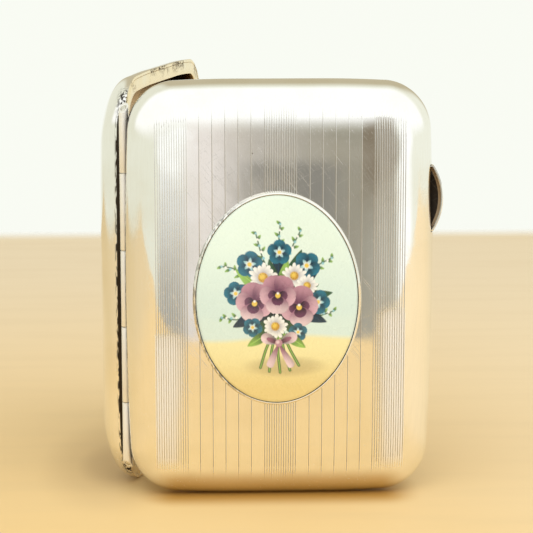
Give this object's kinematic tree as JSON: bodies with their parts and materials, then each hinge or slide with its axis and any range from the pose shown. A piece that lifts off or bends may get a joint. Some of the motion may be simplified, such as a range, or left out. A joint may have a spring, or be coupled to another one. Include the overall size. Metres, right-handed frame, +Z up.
{
  "type": "cigarette case",
  "caption": "Pocket cigarette case of two cushion-shaped silver halves on a side hinge, with an oval enamel plaque, a push-piece catch and an elastic strap inside.",
  "frame": {"origin": "on the floor, in the middle of the front half's foot, where the case stands on its lower end", "axes": "+Z up along the case's height, -Y out of the front face, -X towards the hinge, +X towards the thumb-piece"},
  "size_m": [0.0675, 0.0687, 0.083],
  "materials": {
    "silver": "polished silver, lightly worn",
    "worn_silver": "dull worn silver",
    "gilt": "pale worn gilding",
    "copper": "oxidised copper",
    "steel": "spring steel",
    "enamel": "glossy painted enamel",
    "elastic": "woven elastic"
  },
  "bodies": {
    "front_half": {"front_cover": "silver", "front_rim_frame": "gilt", "front_knuckle_bottom": "silver", "front_knuckle_middle": "silver", "front_knuckle_top": "silver", "hinge_pin": "worn_silver", "plaque_bezel": "silver", "plaque_plate": "copper", "enamel_face": "enamel", "spring_foot": "worn_silver", "spring_rivet": "steel"},
    "thumb_catch": {"thumb_piece": "silver", "catch_spring": "steel", "catch_hook": "steel", "thumb_rivet_upper": "steel", "thumb_rivet_lower": "steel"},
    "rear_half": {"rear_cover": "silver", "rear_rim_frame": "gilt", "rear_knuckle_lower": "silver", "rear_knuckle_upper": "silver", "strap_keeper_hinge_side": "worn_silver", "strap_keeper_clasp_side": "worn_silver", "elastic_strap": "elastic"}
  },
  "joints": [
    {"name": "lid_swing", "type": "hinge", "parent": "front_half", "child": "rear_half", "pos_m": [-0.0303, 0.00047, 0.0415], "axis": [0, 0, 1], "range_deg": [-75, 90]},
    {"name": "thumb_press", "type": "hinge", "parent": "front_half", "child": "thumb_catch", "pos_m": [0.02821, -0.00153, 0.0356], "axis": [0, -1, 0], "range_deg": [0, 2], "stiffness_Nm_per_rad": 1.5}
  ]
}
